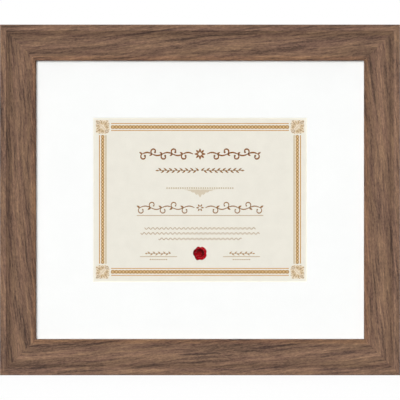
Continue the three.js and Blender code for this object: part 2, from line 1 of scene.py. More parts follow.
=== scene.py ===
"""Looks of the wall picture frame: finishes, the print on the certificate, the wax seal, the fittings on
the back, the light and the camera. Metres, +Z up. The viewer stands on the -Y side."""

import json
import math
import random

import bmesh
import bpy
from mathutils import Matrix, Vector

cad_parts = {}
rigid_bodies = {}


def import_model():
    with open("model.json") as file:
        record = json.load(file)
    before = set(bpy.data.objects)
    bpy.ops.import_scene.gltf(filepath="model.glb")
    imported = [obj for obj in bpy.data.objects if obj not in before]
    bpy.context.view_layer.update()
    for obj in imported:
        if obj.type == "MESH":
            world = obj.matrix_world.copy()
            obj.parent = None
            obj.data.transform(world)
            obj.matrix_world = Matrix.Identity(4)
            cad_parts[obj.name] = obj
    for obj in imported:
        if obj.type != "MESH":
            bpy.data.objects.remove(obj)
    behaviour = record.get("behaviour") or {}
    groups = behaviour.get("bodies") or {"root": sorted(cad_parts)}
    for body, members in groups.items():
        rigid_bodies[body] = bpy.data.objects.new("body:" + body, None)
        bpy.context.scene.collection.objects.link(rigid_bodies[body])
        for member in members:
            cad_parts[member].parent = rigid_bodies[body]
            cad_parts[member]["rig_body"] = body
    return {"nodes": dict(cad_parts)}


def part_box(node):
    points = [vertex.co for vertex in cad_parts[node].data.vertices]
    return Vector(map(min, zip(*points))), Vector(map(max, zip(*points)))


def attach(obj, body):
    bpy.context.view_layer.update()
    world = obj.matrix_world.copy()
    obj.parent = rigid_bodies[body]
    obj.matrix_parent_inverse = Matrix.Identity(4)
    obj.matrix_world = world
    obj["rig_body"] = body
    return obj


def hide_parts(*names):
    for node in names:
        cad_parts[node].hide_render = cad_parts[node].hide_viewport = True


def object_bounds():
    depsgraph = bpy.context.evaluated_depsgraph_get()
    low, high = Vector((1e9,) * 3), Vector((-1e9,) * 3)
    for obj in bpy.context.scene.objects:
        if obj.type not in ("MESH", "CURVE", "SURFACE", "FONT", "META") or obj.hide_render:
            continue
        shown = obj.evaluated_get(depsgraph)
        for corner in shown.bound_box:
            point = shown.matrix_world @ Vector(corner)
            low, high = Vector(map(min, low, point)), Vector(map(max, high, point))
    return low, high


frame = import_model()
cad_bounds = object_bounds()

MM = 0.001

# Camera: it stands square to the frame, so far off that the view is almost parallel
IMAGE_SIDE = 400
FRAME_WIDTH_PIXELS = 400.5
FRAME_MIDDLE_PIXELS = 199.9
CAMERA_DISTANCE = 6.0
SENSOR = 36.0
CLIP_END = 100.0

# Far lamps: level, then in degrees the spread, the turn to the right of the viewer and the rise, and
# whether a mirror shows it. One that no mirror shows gives soft light without a glare in the glazing. At
# a level of 1 a colour shows as it is written.
LAMPS = {
    "key": (0.92, 29, -10.4, 6.89, False),
    "glint": (0.05, 14, -38.66, 35.1, True),
    "back_left": (0.42, 50, -138, 28, True),
    "back_right": (0.42, 50, 138, 28, True),
    "top": (0.4, 80, 180, 75.96, True),
}
ROOM_LEVEL = 0.05
FLOOR_SIDE = 30.0
FLOOR_GLOW = 0.92
FLOOR_SEEN = 0.97
FLOOR_BOUNCE = 0.05

# Meshes
WELD = 0.001 * MM
FLAT_ANGLE = math.radians(0.05)
SHARP_ANGLE = math.radians(35)
MITRE_REACH = 0.15 * MM
MITRE_OPEN = 0.02 * MM
EDGE_SEGMENTS = 2
SQUARE = ((-1, -1), (1, -1), (1, 1), (-1, 1))

SIDES = ("top", "right", "bottom", "left")
CORNERS = ("top_right", "bottom_right", "bottom_left", "top_left")
sight_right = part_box("right_rail")[0].x
sight_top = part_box("top_rail")[0].z
moulding_width = cad_bounds[1].x - sight_right
rail_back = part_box("top_rail")[1].y
paper_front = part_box("certificate")[0].y


# Colour and node helpers

def srgb(red, green, blue):
    """A colour given as 0 to 255, as the linear values that shaders take."""
    def linear(part):
        part = part / 255
        return part / 12.92 if part <= 0.04045 else ((part + 0.055) / 1.055) ** 2.4
    return (linear(red), linear(green), linear(blue), 1.0)


def grey(level):
    return (level, level, level, 1.0)


WHITE = grey(1.0)
# Most of a noise lies between these levels
NOISE_ENDS = (0.3, 0.7)


class Tree:
    """The node tree of a new material or world, with short ways to add the nodes that the looks share."""

    def __init__(self, name, store=bpy.data.materials):
        self.owner = store.new(name)
        self.owner.use_nodes = True
        self.tree = self.owner.node_tree
        self.tree.nodes.clear()
        self.place = None

    def add(self, kind, sockets=None, **settings):
        node = self.tree.nodes.new(kind)
        for name, value in settings.items():
            setattr(node, name, value)
        for key, value in (sockets or {}).items():
            self.feed(node.inputs[key], value)
        return node

    def feed(self, socket, value):
        if isinstance(value, bpy.types.NodeSocket):
            self.tree.links.new(value, socket)
        else:
            socket.default_value = value

    def math(self, operation, first, second=0.0, third=0.0):
        node = self.add("ShaderNodeMath", {0: first, 1: second, 2: third}, operation=operation)
        return node.outputs[0]

    def position(self):
        """Object coordinates, split into x, y and z."""
        if self.place is None:
            coordinates = self.add("ShaderNodeTexCoord").outputs["Object"]
            self.place = self.add("ShaderNodeSeparateXYZ", {0: coordinates}).outputs
        return self.place

    def vector(self, x, y, z):
        return self.add("ShaderNodeCombineXYZ", {0: x, 1: y, 2: z}).outputs[0]

    def noise(self, vector, detail=2.0, roughness=0.5):
        """Smooth noise from 0 to 1, with one lump for each unit of the vector."""
        settings = {"Vector": vector, "Scale": 1.0, "Detail": detail, "Roughness": roughness}
        return self.add("ShaderNodeTexNoise", settings).outputs["Fac"]

    def scaled(self, x_size, y_size, z_size, seed=0.0):
        """Object coordinates in units of the given sizes, moved by a seed."""
        sizes = (x_size, y_size, z_size)
        parts = [
            self.math("MULTIPLY_ADD", axis, 1 / size, seed)
            for axis, size in zip(self.position(), sizes)
        ]
        return self.vector(*parts)

    def lumps(self, size, detail=2.0, roughness=0.5, seed=0.0):
        """Noise with lumps of one size, in every direction."""
        return self.noise(self.scaled(size, size, size, seed), detail, roughness)

    def ramp(self, factor, stops):
        """Colours or grey levels along a factor. stops are pairs of place and colour or level."""
        node = self.add("ShaderNodeValToRGB", {0: factor})
        elements = node.color_ramp.elements
        while len(elements) < len(stops):
            elements.new(1.0)
        for element, (place, value) in zip(elements, stops):
            element.position = place
            element.color = value if isinstance(value, tuple) else grey(value)
        return node.outputs["Color"]

    def mix(self, factor, first, second, blend="MIX"):
        node = self.add("ShaderNodeMix", data_type="RGBA", blend_type=blend)
        self.feed(node.inputs["Factor"], factor)
        self.feed(node.inputs[6], first)
        self.feed(node.inputs[7], second)
        return node.outputs[2]

    def spread(self, value, low, high, new_low, new_high):
        """A value moved from one range to another, and held inside it."""
        sockets = {"Value": value, 1: low, 2: high, 3: new_low, 4: new_high}
        return self.add("ShaderNodeMapRange", sockets, clamp=True).outputs[0]

    def stretch(self, noise, low, high):
        """Noise moved to a range."""
        return self.spread(noise, *NOISE_ENDS, low, high)

    def bump(self, height, depth):
        sockets = {"Height": height, "Strength": 1.0, "Distance": depth}
        return self.add("ShaderNodeBump", sockets).outputs[0]

    def seen_directly(self):
        """1 for rays that look at a surface directly, in a mirror or through glass."""
        path = self.add("ShaderNodeLightPath").outputs
        looking = self.math("MAXIMUM", path["Is Camera Ray"], path["Is Glossy Ray"])
        return self.math("MAXIMUM", looking, path["Is Transmission Ray"])

    def mix_shaders(self, factor, first, second):
        sockets = {0: factor, 1: first.outputs[0], 2: second.outputs[0]}
        return self.add("ShaderNodeMixShader", sockets)

    def end(self, shader, output="ShaderNodeOutputMaterial"):
        """Ends the tree in a shader, and gives the material or world."""
        self.add(output, {"Surface": shader.outputs[0]})
        return self.owner

    def finish(self, sockets):
        """Ends the tree in one Principled shader with the given sockets, and gives the material."""
        return self.end(self.add("ShaderNodeBsdfPrincipled", sockets))


# Walnut: the grain runs along each rail. Each layer of it has a length along the grain and a width across
# it, in millimetres, a seed, and the detail and roughness of its noise.
GRAIN = {
    "wander": (120, 36, 0.0, 1.0, 0.55),
    "broad": (170, 11, 3.1, 2.0, 0.55),
    "narrow": (55, 3.0, 7.7, 2.0, 0.55),
    "fleck": (14, 1.6, 9.4, 2.0, 0.55),
    "fibre": (3.7, 1.3, 12.3, 3.0, 0.65),
    "wedge": (75, 4.5, 17.5, 1.0, 0.55),
    "pore": (3.2, 0.22, 21.9, 1.0, 0.55),
    "rose": (60, 6, 26.2, 2.0, 0.55),
    "saw_mark": (0.9, 24, 31.0, 2.0, 0.55),
}
GRAIN_SLANT = 0.1
GRAIN_WANDER = 10 * MM
RAIL_SEED = 11.0
ACROSS_SEED = 1.7
TONE_WEIGHTS = {"broad": 0.85, "narrow": 1.0, "fleck": 1.0, "fibre": 1.15}
RAW_WEIGHTS = {"saw_mark": 0.5, "fibre": 0.4}
WEDGE_WEIGHT = -0.36
WEDGE_EDGE = (0.57, 0.75)
PORE_EDGE = (0.62, 0.72)
ROSE_EDGE = (0.4, 0.65)
ROSE_SHARE = 0.35
WALNUT_TONES = (
    (0.00, srgb(86, 69, 61)),
    (0.25, srgb(115, 91, 77)),
    (0.50, srgb(140, 111, 91)),
    (0.75, srgb(160, 127, 101)),
    (1.00, srgb(181, 147, 116)),
)
ROSE_TONES = (
    (0.00, srgb(93, 71, 67)),
    (0.50, srgb(144, 109, 96)),
    (1.00, srgb(185, 146, 124)),
)
RAW_TONES = (
    (0.00, srgb(112, 88, 70)),
    (0.50, srgb(150, 121, 95)),
    (1.00, srgb(182, 152, 120)),
)
LIP_TINT = (1.0, 0.93, 0.86, 1.0)
LIP_ENDS = (4.5 * MM, 7.0 * MM)
PORE_COLOUR = srgb(74, 56, 48)
PORE_SHARE = 0.4
# Painted shade and light across the moulding: millimetres from the sight edge, and the share of light that
# it leaves. It is darker in the cove and the hollow beside the bead and at the rounded edges, where shade
# falls, and lighter on the crown and the bead.
PAINTED_PROFILE_SHADE = (
    (0.0, 0.77), (2.0, 0.81), (5.5, 0.87), (7.2, 0.75), (9.0, 0.66), (11.0, 0.77), (15.0, 0.76),
    (18.0, 0.87), (21.0, 0.85), (24.5, 0.86), (27.5, 0.75), (31.0, 0.71), (32.6, 0.64), (33.9, 0.53),
    (35.2, 0.64), (37.8, 0.74), (38.2, 0.95), (40.6, 0.93), (42.0, 0.82), (45.0, 0.82), (46.0, 0.66),
)
STAIN_LAP = (1.0 * MM, 0.4 * MM)
STAIN_WAVER = 0.6 * MM
STAIN_WAVER_SIZE = 6 * MM
WALNUT_ROUGHNESS = (0.66, 0.52)
WALNUT_RELIEF = 0.06 * MM


def walnut(side, seed):
    """Walnut for one rail: streaks, dark wedges, short fibres and open pores, with painted shade and light
    across the profile on the front and the outside, and sawn wood on the back."""
    tree = Tree(f"walnut_{side}")
    x, y, z = tree.position()
    level = side in ("top", "bottom")
    along, across = (x, z) if level else (z, x)
    sight = sight_top if level else sight_right

    def grain(kind, over):
        length, width, offset, detail, roughness = GRAIN[kind]
        vector = tree.vector(
            tree.math("MULTIPLY_ADD", along, 1 / (length * MM), seed + offset),
            tree.math("MULTIPLY_ADD", over, 1 / (width * MM), seed * ACROSS_SEED + offset),
            tree.math("MULTIPLY", y, 1 / (width * MM)),
        )
        return tree.noise(vector, detail, roughness)

    def add_layers(tone, weights):
        for kind, weight in weights.items():
            tone = tree.math("MULTIPLY_ADD", tree.math("SUBTRACT", layers[kind], 0.5), weight, tone)
        return tone

    slanted = tree.math("MULTIPLY_ADD", along, -GRAIN_SLANT if level else GRAIN_SLANT, across)
    bent = tree.math("MULTIPLY_ADD", grain("wander", across), GRAIN_WANDER, slanted)
    layers = {kind: grain(kind, bent) for kind in TONE_WEIGHTS}
    layers["saw_mark"] = grain("saw_mark", across)
    wedge = tree.spread(grain("wedge", bent), *WEDGE_EDGE, 0.0, 1.0)
    pore = tree.spread(grain("pore", bent), *PORE_EDGE, 0.0, 1.0)
    tone = tree.math("MULTIPLY_ADD", wedge, WEDGE_WEIGHT, add_layers(0.5, TONE_WEIGHTS))

    rose = tree.spread(grain("rose", bent), *ROSE_EDGE, 0.0, ROSE_SHARE)
    colour = tree.mix(rose, tree.ramp(tone, WALNUT_TONES), tree.ramp(tone, ROSE_TONES))
    from_sight = tree.math("SUBTRACT", tree.math("ABSOLUTE", across), sight)
    painted_shade_stops = [(place * MM / moulding_width, share) for place, share in PAINTED_PROFILE_SHADE]
    profile_shade = tree.ramp(tree.math("MULTIPLY", from_sight, 1 / moulding_width), painted_shade_stops)
    lip = tree.spread(from_sight, *LIP_ENDS, 1.0, 0.0)
    colour = tree.mix(lip, colour, LIP_TINT, "MULTIPLY")
    # Painted shade and light: darker in the cove and at the edges, lighter on the crown and the bead
    colour = tree.mix(1.0, colour, profile_shade, "MULTIPLY")
    colour = tree.mix(tree.math("MULTIPLY", pore, PORE_SHARE), colour, PORE_COLOUR)

    edge = tree.math("MULTIPLY_ADD", tree.lumps(STAIN_WAVER_SIZE, detail=3.0), STAIN_WAVER, y)
    stain_ends = [rail_back - lap for lap in STAIN_LAP]
    raw = tree.spread(edge, *stain_ends, 0.0, 1.0)
    raw_tone = add_layers(tone, RAW_WEIGHTS)
    fibre = layers["fibre"]
    return tree.finish({
        "Base Color": tree.mix(raw, colour, tree.ramp(raw_tone, RAW_TONES)),
        "Roughness": tree.math("MAXIMUM", tree.stretch(fibre, *WALNUT_ROUGHNESS), raw),
        "Specular IOR Level": 0.12,
        "Normal": tree.bump(tree.math("MULTIPLY_ADD", pore, -1.0, fibre), WALNUT_RELIEF),
    })


# Sheets of the picture package, with the sizes of the lumps in their texture
BOARD_TOOTH = 0.5 * MM
BOARD_TOOTH_DEPTH = 0.02 * MM
BOARD_CLOUD = 30 * MM
GLASS_INDEX = 1.1
PAPER_DARK = srgb(235, 231, 219)
PAPER_LIGHT = srgb(239, 235, 223)
PAPER_CLOUD = 14 * MM
PAPER_TOOTH = 0.4 * MM
PAPER_TOOTH_DEPTH = 0.01 * MM
INK_CLOUD = 9 * MM
INK_TOOTH_ENDS = (0.45, 0.75)
INK_THIN = {"tooth": 0.05, "cloud": 0.03}


def board(name, light, dark):
    """Faced board: almost even, with a fine tooth."""
    tree = Tree(name)
    tooth = tree.lumps(BOARD_TOOTH, detail=3.0, roughness=0.6)
    cloud = tree.stretch(tree.lumps(BOARD_CLOUD), 0.0, 1.0)
    return tree.finish({
        "Base Color": tree.mix(cloud, light, dark),
        "Roughness": tree.stretch(tooth, 0.95, 0.85),
        "Specular IOR Level": 0.1,
        "Normal": tree.bump(tooth, BOARD_TOOTH_DEPTH),
    })


def glass():
    """Clear glazing with little reflection. Lamps and bounced light pass straight through it."""
    tree = Tree("clear_glazing")
    path = tree.add("ShaderNodeLightPath").outputs
    passes = tree.math("MAXIMUM", path["Is Shadow Ray"], path["Is Diffuse Ray"])
    pane = tree.add("ShaderNodeBsdfPrincipled", {
        "Base Color": WHITE,
        "Roughness": 0.0,
        "IOR": GLASS_INDEX,
        "Transmission Weight": 1.0,
    })
    clear = tree.add("ShaderNodeBsdfTransparent")
    return tree.end(tree.mix_shaders(passes, pane, clear))


def paper():
    tree = Tree("certificate_parchment")
    cloud = tree.stretch(tree.lumps(PAPER_CLOUD, detail=4.0, roughness=0.6), 0.0, 1.0)
    return tree.finish({
        "Base Color": tree.ramp(cloud, ((0.0, PAPER_DARK), (1.0, PAPER_LIGHT))),
        "Roughness": 0.85,
        "Specular IOR Level": 0.15,
        "Normal": tree.bump(tree.lumps(PAPER_TOOTH), PAPER_TOOTH_DEPTH),
    })


def ink(name, colour):
    """Printing ink: a little thinner where the paper's tooth stands up."""
    tree = Tree(name)
    tooth = tree.lumps(PAPER_TOOTH, roughness=0.6)
    on_tooth = tree.spread(tooth, *INK_TOOTH_ENDS, 0.0, INK_THIN["tooth"])
    uneven = tree.stretch(tree.lumps(INK_CLOUD), 0.0, INK_THIN["cloud"])
    return tree.finish({
        "Base Color": tree.mix(tree.math("ADD", on_tooth, uneven), colour, PAPER_LIGHT),
        "Roughness": 0.7,
        "Specular IOR Level": 0.06,
    })


# Wax: a painted shadow, where the stamp's rim would shade its hollow, lies between two circles at the
# upper right, and painted shade darkens the left side. Ends are shares of the seal's radius over which a
# colour fades, and wavers say how far the flow of the wax shifts them; the deep waver shifts the painted
# shadow and the shade waver the painted shade.
WAX_RIM = srgb(172, 13, 27)
WAX_MIDDLE = srgb(154, 14, 23)
WAX_PAINTED_SHADOW = srgb(60, 6, 7)
WAX_PAINTED_SHADE = srgb(98, 4, 13)
WAX_FLOW = 3.5 * MM
WAX_FLOW_DEPTH = 0.12 * MM
WAX_BLOOM = 0.8 * MM
WAX_BLOOM_SEED = 5.0
WAX_MIDDLE_ENDS = (0.3, 0.75)
PAINTED_SHADOW_WITHIN = (0.54, 0.68)
PAINTED_SHADOW_BEYOND = (0.2, 0.7)
PAINTED_SHADOW_BEYOND_MIDDLE = (-1.4 * MM, -2.0 * MM)
PAINTED_SHADE_BEYOND = (0.6, 0.85)
PAINTED_SHADE_LEFT_OF = 0.7
WAX_WAVERS = {"middle": 0.3, "deep": 0.4, "shade": 0.5}


def wax(centre, reach):
    """Sealing wax: bright towards the rim, with a painted shadow inside the stamp's upper right and
    painted shade on the left.
    """
    tree = Tree("sealing_wax")
    x, y, z = tree.position()
    flow = tree.lumps(WAX_FLOW, detail=3.0, roughness=0.6)
    uneven = tree.math("SUBTRACT", flow, 0.5)

    def distance(kind, right=0.0, up=0.0):
        aside = tree.math("SUBTRACT", x, centre.x + right)
        above = tree.math("SUBTRACT", z, centre.z + up)
        squares = tree.math("MULTIPLY_ADD", aside, aside, tree.math("MULTIPLY", above, above))
        straight = tree.math("MULTIPLY", tree.math("SQRT", squares), 1 / reach)
        return tree.math("MULTIPLY_ADD", uneven, WAX_WAVERS[kind], straight)

    from_middle = distance("middle")
    colour = tree.ramp(from_middle, tuple(zip(WAX_MIDDLE_ENDS, (WAX_MIDDLE, WAX_RIM))))
    within = tree.spread(from_middle, *PAINTED_SHADOW_WITHIN, 1.0, 0.0)
    beyond = tree.spread(distance("deep", *PAINTED_SHADOW_BEYOND_MIDDLE), *PAINTED_SHADOW_BEYOND, 0.0, 1.0)
    # Painted shadow in the stamp's hollow at the upper right
    colour = tree.mix(tree.math("MULTIPLY", within, beyond), colour, WAX_PAINTED_SHADOW)
    # Painted shade, darker towards the seal's left side
    from_left = tree.spread(x, centre.x - PAINTED_SHADE_LEFT_OF * reach, centre.x, 1.0, 0.0)
    shade = tree.math("MULTIPLY", tree.spread(distance("shade"), *PAINTED_SHADE_BEYOND, 0.0, 1.0), from_left)
    return tree.finish({
        "Base Color": tree.mix(shade, colour, WAX_PAINTED_SHADE),
        "Roughness": tree.stretch(tree.lumps(WAX_BLOOM, seed=WAX_BLOOM_SEED), 0.34, 0.5),
        "Specular IOR Level": 0.05,
        "Normal": tree.bump(flow, WAX_FLOW_DEPTH),
    })


# Finishes on the back
HARDBOARD_TONES = (
    (0.1, srgb(92, 68, 47)),
    (0.5, srgb(126, 96, 68)),
    (0.9, srgb(160, 128, 95)),
)
HARDBOARD_CLOUD_TONES = (0.36, 0.64)
HARDBOARD_FIBRE = (4 * MM, MM, 0.5 * MM)
HARDBOARD_FIBRE_WEIGHT = 2.2
ZINC_TONES = (
    (0.3, srgb(150, 152, 156)),
    (0.55, srgb(172, 174, 176)),
    (0.75, srgb(180, 177, 168)),
)
ZINC_SCRATCH = (0.12 * MM, 3 * MM, 3 * MM)
ZINC_SPOT_EDGE = (0.6, 0.72)
ZINC_SPOT_COLOUR = srgb(128, 128, 130)
ZINC_SPOT_SHARE = 0.35
ZINC_ROUGHNESS = {"least": 0.24, "scratch": 0.16, "spot": 0.18}
RUBBER_DUST_EDGE = (0.4, 0.75)


def hardboard():
    """Pressed wood fibre: brown, with short pale and dark fibres lying every way."""
    tree = Tree("brown_hardboard")
    cloud = tree.spread(tree.lumps(size=60 * MM, detail=3.0), 0.0, 1.0, *HARDBOARD_CLOUD_TONES)
    lying = tree.noise(tree.scaled(*HARDBOARD_FIBRE, seed=2.0), 3.0, 0.7)
    standing = tree.noise(tree.scaled(*HARDBOARD_FIBRE[::-1], seed=9.0), 3.0, 0.7)
    fibres = tree.math("MULTIPLY", tree.math("ADD", lying, standing), 0.5)
    tone = tree.math("MULTIPLY_ADD", tree.math("SUBTRACT", fibres, 0.5), HARDBOARD_FIBRE_WEIGHT, cloud)
    return tree.finish({
        "Base Color": tree.ramp(tone, HARDBOARD_TONES),
        "Roughness": tree.spread(fibres, 0.35, 0.65, 0.8, 0.6),
        "Specular IOR Level": 0.25,
        "Normal": tree.bump(fibres, depth=0.06 * MM),
    })


def zinc(name, seed):
    """Zinc-plated steel: cloudy plating, fine scratches and a few dull spots."""
    tree = Tree(name)
    cloud = tree.lumps(size=5 * MM, detail=3.0, roughness=0.6, seed=seed)
    scratch = tree.noise(tree.scaled(*ZINC_SCRATCH, seed), 3.0, 0.7)
    spot = tree.spread(tree.lumps(size=1.6 * MM, seed=seed + 4.0), *ZINC_SPOT_EDGE, 0.0, 1.0)
    rough = tree.math("MULTIPLY_ADD", scratch, ZINC_ROUGHNESS["scratch"], ZINC_ROUGHNESS["least"])
    share = tree.math("MULTIPLY", spot, ZINC_SPOT_SHARE)
    return tree.finish({
        "Base Color": tree.mix(share, tree.ramp(cloud, ZINC_TONES), ZINC_SPOT_COLOUR),
        "Metallic": 1.0,
        "Roughness": tree.math("MULTIPLY_ADD", spot, ZINC_ROUGHNESS["spot"], rough),
        "Normal": tree.bump(tree.math("MULTIPLY_ADD", cloud, 0.6, scratch), depth=0.012 * MM),
    })


def rubber():
    """Black rubber with a little dust."""
    tree = Tree("black_rubber")
    lumps = tree.lumps(size=1.2 * MM, detail=4.0, roughness=0.7)
    dust = tree.spread(lumps, *RUBBER_DUST_EDGE, 0.0, 1.0)
    return tree.finish({
        "Base Color": tree.mix(dust, srgb(36, 36, 37), srgb(62, 61, 59)),
        "Roughness": tree.spread(dust, 0.0, 1.0, 0.6, 0.85),
        "Specular IOR Level": 0.35,
        "Normal": tree.bump(tree.lumps(size=0.35 * MM), depth=0.02 * MM),
    })


# Pieces

def directions(count):
    """Even steps all the way round, in radians."""
    return [2 * math.pi * step / count for step in range(count)]


def skin(shape, rings):
    """Walls from each ring of corners to the next. A ring of one corner is a point."""
    for first, second in zip(rings, rings[1:]):
        count = max(len(first), len(second))
        for step in range(count):
            after = (step + 1) % count
            corners = [first[step % len(first)], first[after % len(first)]]
            corners += [second[after % len(second)], second[step % len(second)]]
            shape.faces.new(list(dict.fromkeys(corners)))


def outwards(shape):
    bmesh.ops.recalc_face_normals(shape, faces=shape.faces)


def placed(name, data):
    """A new object in the scene."""
    made = bpy.data.objects.new(name, data)
    bpy.context.scene.collection.objects.link(made)
    return made


def made_from(name, shape):
    """Ends a bmesh as an object."""
    mesh = bpy.data.meshes.new(name)
    shape.to_mesh(mesh)
    shape.free()
    return placed(name, mesh)


def add_piece(name, shape, material, body, slot, *nodes):
    """Ends a bmesh as a piece that rides on a body, and that stands for the given CAD nodes."""
    piece = made_from(name, shape)
    piece.data.materials.append(material)
    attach(piece, body)
    if nodes:
        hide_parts(*nodes)
    return piece


def body_of(node):
    return frame["nodes"][node]["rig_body"]


def welded(node):
    """A copy of a CAD node's mesh with its corners joined and its flat faces whole."""
    shape = bmesh.new()
    shape.from_mesh(frame["nodes"][node].data)
    bmesh.ops.remove_doubles(shape, verts=shape.verts, dist=WELD)
    bmesh.ops.dissolve_limit(shape, angle_limit=FLAT_ANGLE, verts=shape.verts, edges=shape.edges)
    return shape


def shade(shape):
    """Smooth curves and sharp edges."""
    for face in shape.faces:
        face.smooth = True
    for edge in shape.edges:
        edge.smooth = edge.is_manifold and edge.calc_face_angle() < SHARP_ANGLE


def refined(node, material, slot, round_edge=0.0):
    shape = welded(node)
    shade(shape)
    piece = add_piece(node + "_surface", shape, material, body_of(node), slot, node)
    if round_edge:
        bevel = piece.modifiers.new("round_edges", "BEVEL")
        bevel.width = round_edge
        bevel.segments = EDGE_SEGMENTS
        bevel.limit_method = "ANGLE"
        bevel.angle_limit = SHARP_ANGLE
        bevel.harden_normals = True
    return piece


def rail(side, seed):
    """A rail whose mitred ends meet the next rail's as closely as a glued joint."""
    shape = welded(f"{side}_rail")
    level = side in ("top", "bottom")
    longer = sight_right - sight_top if level else sight_top - sight_right
    for vertex in shape.verts:
        along, across = (vertex.co.x, vertex.co.z) if level else (vertex.co.z, vertex.co.x)
        short = longer - (abs(along) - abs(across))
        if short < MITRE_REACH:
            along += math.copysign(short - MITRE_OPEN, along)
        vertex.co = (along, vertex.co.y, across) if level else (across, vertex.co.y, along)
    shade(shape)
    add_piece(f"{side}_rail_surface", shape, walnut(side, seed), "frame", "walnut", f"{side}_rail")


MAT_CUT = 0.25 * MM
BACKING_EDGE = 0.3 * MM


def window_mat(material):
    """The mat, with its opening cut so steeply that hardly any of the cut shows from the front. It
    throws no shadow, so that the light inside the opening is even up to the edge."""
    shape = welded("window_mat")
    low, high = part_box("window_mat")
    narrower = high.y - low.y - MAT_CUT
    for vertex in shape.verts:
        x, y, z = vertex.co
        if y < low.y + WELD and abs(x) < high.x - WELD and abs(z) < high.z - WELD:
            vertex.co = (x - math.copysign(narrower, x), y, z - math.copysign(narrower, z))
    shade(shape)
    piece = add_piece("window_mat_surface", shape, material, "frame", "mat_board", "window_mat")
    piece.visible_shadow = False


for number, side in enumerate(SIDES):
    rail(side, RAIL_SEED * number)
window_mat(board("mat_board_white", srgb(254, 255, 254), srgb(252, 253, 252)))
refined("glazing", glass(), "framing_glass")
refined("certificate", paper(), "certificate_paper")
mount_white = board("mount_board_white", srgb(244, 243, 238), srgb(238, 237, 231))
refined("mount_board", mount_white, "mat_board")
corner_white = board("mounting_corner_paper", srgb(238, 238, 232), srgb(230, 230, 223))
for corner in CORNERS:
    refined(f"mounting_corner_{corner}", corner_white, "corner_paper")
refined("backing_board", hardboard(), "hardboard", BACKING_EDGE)


# The print on the certificate, in millimetres from the middle of the sheet. It holds ornaments and
# empty rules only.
INK_LAYER = 0.03
PRINT_LIFT = 0.58
OVAL_STEPS = 16
LEAF_STEPS = 7
LEAF_SWELL = 0.75


class Ink:
    """Printed shapes of one colour, each a thin closed solid that lies on the paper."""
    used = []

    def __init__(self, name, colour, layer=1):
        Ink.used.append(self)
        self.name = name
        self.material = ink(name, srgb(*colour))
        self.shape = bmesh.new()
        self.front = paper_front / MM - layer * INK_LAYER
        self.rear = paper_front / MM

    def corners(self, points, y):
        return [self.shape.verts.new((x * MM, y * MM, z * MM)) for x, z in points]

    def strip(self, points, widths, closed=False):
        """A line along points given in x and z, of one width or of a width for each point."""
        count = len(points)
        if not isinstance(widths, list):
            widths = [widths] * count
        edges = []
        for index, (point, width) in enumerate(zip(points, widths)):
            before = points[index - 1] if closed or index > 0 else point
            after = points[(index + 1) % count] if closed or index < count - 1 else point
            way = (Vector(after) - Vector(before)).normalized()
            aside = Vector((-way.y, way.x)) * (width / 2)
            ends = [Vector(point) + aside, Vector(point) - aside]
            edges.append(self.corners(ends, self.front) + self.corners(ends[::-1], self.rear))
        if closed:
            edges.append(edges[0])
        else:
            self.shape.faces.new(edges[0])
            self.shape.faces.new(edges[-1])
        skin(self.shape, edges)

    def patch(self, points):
        """A filled outline."""
        front = self.corners(points, self.front)
        rear = self.corners(points, self.rear)
        self.shape.faces.new(front)
        self.shape.faces.new(rear)
        skin(self.shape, [front, rear])

    def dot(self, centre, radius):
        self.patch(oval(centre, radius, radius))

    def ring(self, centre, radius, width):
        self.strip(oval(centre, radius, radius), width, closed=True)

    def leaf(self, base, tip, width):
        """A pointed leaf, widest nearer its base."""
        base, tip = Vector(base), Vector(tip)
        aside = Vector((base.y - tip.y, tip.x - base.x)).normalized() * (width / 2)
        shares = [step / LEAF_STEPS for step in range(LEAF_STEPS + 1)]
        swell = [math.sin(math.pi * share ** LEAF_SWELL) for share in shares]
        there = [base.lerp(tip, share) + aside * full for share, full in zip(shares, swell)]
        back = [base.lerp(tip, share) - aside * full for share, full in zip(shares, swell)]
        self.patch(there + back[-2:0:-1])

    def stroke(self, points, thick, thin, swells=1):
        """A pen stroke that swells a number of times on its way."""
        last = len(points) - 1
        turns = [math.pi * swells * index / last for index in range(last + 1)]
        self.strip(points, [thin + (thick - thin) * abs(math.sin(turn)) for turn in turns])

    def rosette(self, middle, petals, inside, outside, width):
        """Leaves about a middle, from one distance to another."""
        middle = Vector(middle)
        for angle in directions(petals):
            way = Vector((math.cos(angle), math.sin(angle)))
            self.leaf(middle + way * inside, middle + way * outside, width)

    def done(self):
        outwards(self.shape)
        add_piece(self.name, self.shape, self.material, "frame", "certificate_paper")


def oval(centre, half_width, half_height):
    x, z = centre
    turns = directions(OVAL_STEPS)
    return [(x + half_width * math.cos(turn), z + half_height * math.sin(turn)) for turn in turns]


# The border: lines and plaited bands between four corner ornaments
BORDER_SIDE = 124.55
BORDER_TOP = 92.63
BAND_END_LEVEL = 113.7
BAND_END_UPRIGHT = 82.2
PLAIT_PITCH = 4.47
PLAIT_STEPS = 6
PLAIT_GROUND = 0.87
LEVEL_BAND = {"width": 5.0, "strand": 1.6, "eye": 0.75}
UPRIGHT_BAND = {"width": 4.3, "strand": 1.45, "eye": 1.0}
LEVEL_LINES = (97.08, 88.27)
LEVEL_LINE_WIDTH = 1.08
UPRIGHT_LINE = 128.45
UPRIGHT_LINE_WIDTH = 1.3
STRIPES = {
    "border_stripe_pale": (121.85, 1.1, (231, 218, 192)),
    "border_stripe_deep": (120.35, 1.8, (209, 193, 166)),
}
line_ink = Ink("border_lines", (202, 152, 84))
base_ink = Ink("border_band_ground", (223, 181, 129))
strand_ink = Ink("border_band_strands", (184, 146, 92), 2)
crossing_ink = Ink("border_band_crossings", (180, 143, 92), 3)
eye_ink = Ink("border_band_eyes", (240, 206, 152), 2)


